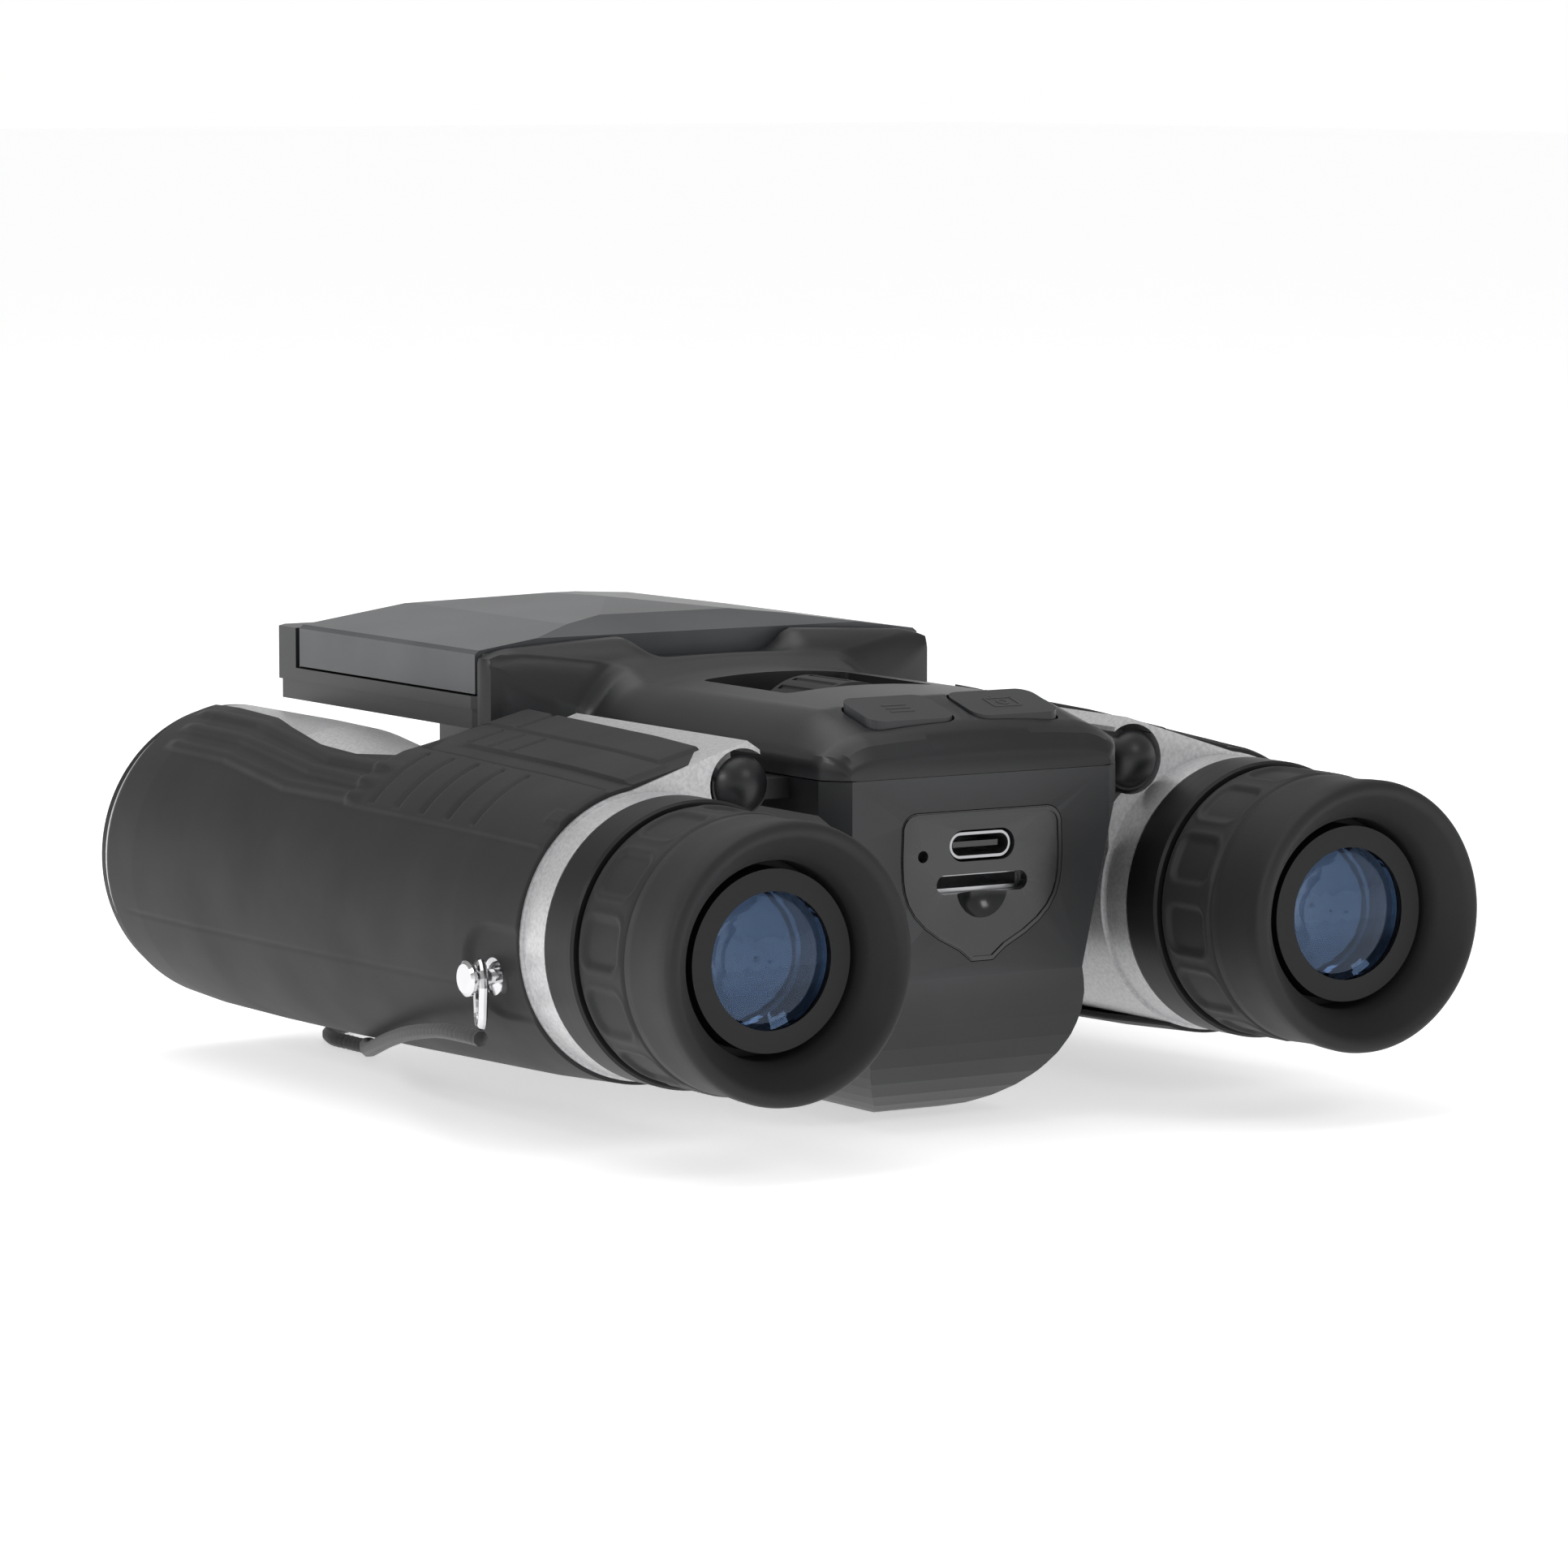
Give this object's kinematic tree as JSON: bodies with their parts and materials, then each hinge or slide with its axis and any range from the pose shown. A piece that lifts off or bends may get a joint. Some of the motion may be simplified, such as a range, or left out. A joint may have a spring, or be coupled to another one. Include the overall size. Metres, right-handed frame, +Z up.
{
  "type": "digital camera binoculars",
  "caption": "Folding roof-prism binoculars with a camera, a flip-up screen, a focus wheel, rubber armour and a neck cord between the strap rings.",
  "frame": {"origin": "centre of the footprint of the binoculars at the level that the keel stands on, without the free cord", "axes": "+Y from the eyepieces to the objectives, +Z up, +X to the user's right when looking through them"},
  "size_m": [0.1288, 0.1639, 0.06],
  "materials": {
    "battery_wrap": "shrink wrap",
    "black_anodised": "black anodised, fine turned",
    "brass_insert": "machined",
    "chrome_wire": "bright plated",
    "circuit_board": "solder masked",
    "coated_glass": "polished, blue anti-reflection coating",
    "display_glass": "dark cover window",
    "gloss_black_plastic": "smooth moulded plastic",
    "nylon_cord": "round braided nylon",
    "prism_glass": "polished optical glass",
    "satin_black_abs": "injection moulded, fine satin texture",
    "silver_paint": "silver metallic paint on ABS, satin",
    "soft_black_rubber": "matte rubber over-mould",
    "steel_pin": "ground"
  },
  "bodies": {
    "centre_body": {"lower_housing": "satin_black_abs", "top_shell": "satin_black_abs", "screen_tray": "satin_black_abs", "tray_underside": "satin_black_abs", "port_panel": "gloss_black_plastic", "usb_shell": "steel_pin", "usb_tongue": "gloss_black_plastic", "card_socket": "steel_pin", "main_board": "circuit_board", "battery_cell": "battery_wrap", "camera_tube": "black_anodised", "camera_lens": "coated_glass", "image_sensor": "gloss_black_plastic", "tripod_insert": "brass_insert", "hinge_pins": "steel_pin", "hinge_caps": "satin_black_abs", "tray_screws": "steel_pin", "focus_axle": "steel_pin", "lid_hinge_pin": "steel_pin", "left_cord_run": "nylon_cord", "cord_coil": "nylon_cord", "right_cord_run": "nylon_cord"},
    "lid": {"lid_cover": "satin_black_abs", "display_frame": "gloss_black_plastic", "display_panel": "display_glass", "display_window": "display_glass"},
    "focus_wheel": {"focus_wheel": "soft_black_rubber"},
    "focus_carriage": {"focus_carriage": "steel_pin"},
    "menu_button": {"menu_button": "satin_black_abs"},
    "shutter_button": {"shutter_button": "satin_black_abs"},
    "power_key": {"power_key": "gloss_black_plastic"},
    "up_key": {"up_key": "gloss_black_plastic"},
    "down_key": {"down_key": "gloss_black_plastic"},
    "ok_key": {"ok_key": "gloss_black_plastic"},
    "left_barrel": {"left_housing": "silver_paint", "left_armour": "soft_black_rubber", "left_objective_ring": "black_anodised", "left_objective_lens": "coated_glass", "left_prisms": "prism_glass", "left_eyepiece_tube": "black_anodised", "left_strap_post": "chrome_wire", "left_eyecup": "soft_black_rubber", "left_lens_bezel": "black_anodised", "left_eye_lens": "coated_glass", "left_cord_lead": "nylon_cord"},
    "left_focus_lens": {"left_focus_lens": "prism_glass"},
    "left_strap_ring": {"left_strap_ring": "chrome_wire"},
    "right_barrel": {"right_housing": "silver_paint", "right_armour": "soft_black_rubber", "right_objective_ring": "black_anodised", "right_objective_lens": "coated_glass", "right_prisms": "prism_glass", "right_eyepiece_tube": "black_anodised", "right_strap_post": "chrome_wire", "right_cord_lead": "nylon_cord"},
    "right_eyepiece": {"right_eyecup": "soft_black_rubber", "right_lens_bezel": "black_anodised", "right_eye_lens": "coated_glass"},
    "right_focus_lens": {"right_focus_lens": "prism_glass"},
    "right_strap_ring": {"right_strap_ring": "chrome_wire"}
  },
  "joints": [
    {"name": "left_barrel_fold", "type": "hinge", "parent": "centre_body", "child": "left_barrel", "pos_m": [-0.029, 0, 0.0436], "axis": [0, -1, 0], "range_deg": [0, 20]},
    {"name": "right_barrel_fold", "type": "hinge", "parent": "centre_body", "child": "right_barrel", "pos_m": [0.029, 0, 0.0436], "axis": [0, 1, 0], "range_deg": [0, 20]},
    {"name": "lid_open", "type": "hinge", "parent": "centre_body", "child": "lid", "pos_m": [0, 0.069, 0.0535], "axis": [-1, 0, 0], "range_deg": [0, 105]},
    {"name": "focus_wheel_turn", "type": "hinge", "parent": "centre_body", "child": "focus_wheel", "pos_m": [0, -0.0144, 0.0443], "axis": [0, 1, 0], "range_deg": [-120, 120]},
    {"name": "focus_carriage_slide", "type": "slide", "parent": "centre_body", "child": "focus_carriage", "axis": [0, 1, 0], "range_m": [-0.0015, 0.0015]},
    {"name": "left_focus_slide", "type": "slide", "parent": "left_barrel", "child": "left_focus_lens", "axis": [0, 1, 0], "range_m": [-0.0015, 0.0015]},
    {"name": "right_focus_slide", "type": "slide", "parent": "right_barrel", "child": "right_focus_lens", "axis": [0, 1, 0], "range_m": [-0.0015, 0.0015]},
    {"name": "right_dioptre_turn", "type": "hinge", "parent": "right_barrel", "child": "right_eyepiece", "pos_m": [0.04225, -0.06, 0.026], "axis": [0, 1, 0], "range_deg": [-45, 45]},
    {"name": "left_strap_ring_swing", "type": "hinge", "parent": "left_barrel", "child": "left_strap_ring", "pos_m": [-0.06205, -0.0334, 0.0215], "axis": [1, 0, 0], "range_deg": [-40, 40]},
    {"name": "right_strap_ring_swing", "type": "hinge", "parent": "right_barrel", "child": "right_strap_ring", "pos_m": [0.06205, -0.0334, 0.0215], "axis": [1, 0, 0], "range_deg": [-40, 40]},
    {"name": "menu_press", "type": "slide", "parent": "centre_body", "child": "menu_button", "axis": [0, 0, -1], "range_m": [0, 0.0005], "stiffness_N_per_m": 800},
    {"name": "shutter_press", "type": "slide", "parent": "centre_body", "child": "shutter_button", "axis": [0, 0, -1], "range_m": [0, 0.0005], "stiffness_N_per_m": 800},
    {"name": "power_key_press", "type": "slide", "parent": "centre_body", "child": "power_key", "axis": [0, 0, -1], "range_m": [0, 0.0004], "stiffness_N_per_m": 800},
    {"name": "up_key_press", "type": "slide", "parent": "centre_body", "child": "up_key", "axis": [0, 0, -1], "range_m": [0, 0.0004], "stiffness_N_per_m": 800},
    {"name": "down_key_press", "type": "slide", "parent": "centre_body", "child": "down_key", "axis": [0, 0, -1], "range_m": [0, 0.0004], "stiffness_N_per_m": 800},
    {"name": "ok_key_press", "type": "slide", "parent": "centre_body", "child": "ok_key", "axis": [0, 0, -1], "range_m": [0, 0.0004], "stiffness_N_per_m": 800}
  ],
  "couplings": [
    {"joint": "focus_wheel_turn", "follows": "focus_carriage_slide", "rad_per_m": 1396.3},
    {"joint": "left_focus_slide", "follows": "focus_carriage_slide", "ratio": 1},
    {"joint": "right_focus_slide", "follows": "focus_carriage_slide", "ratio": 1}
  ]
}
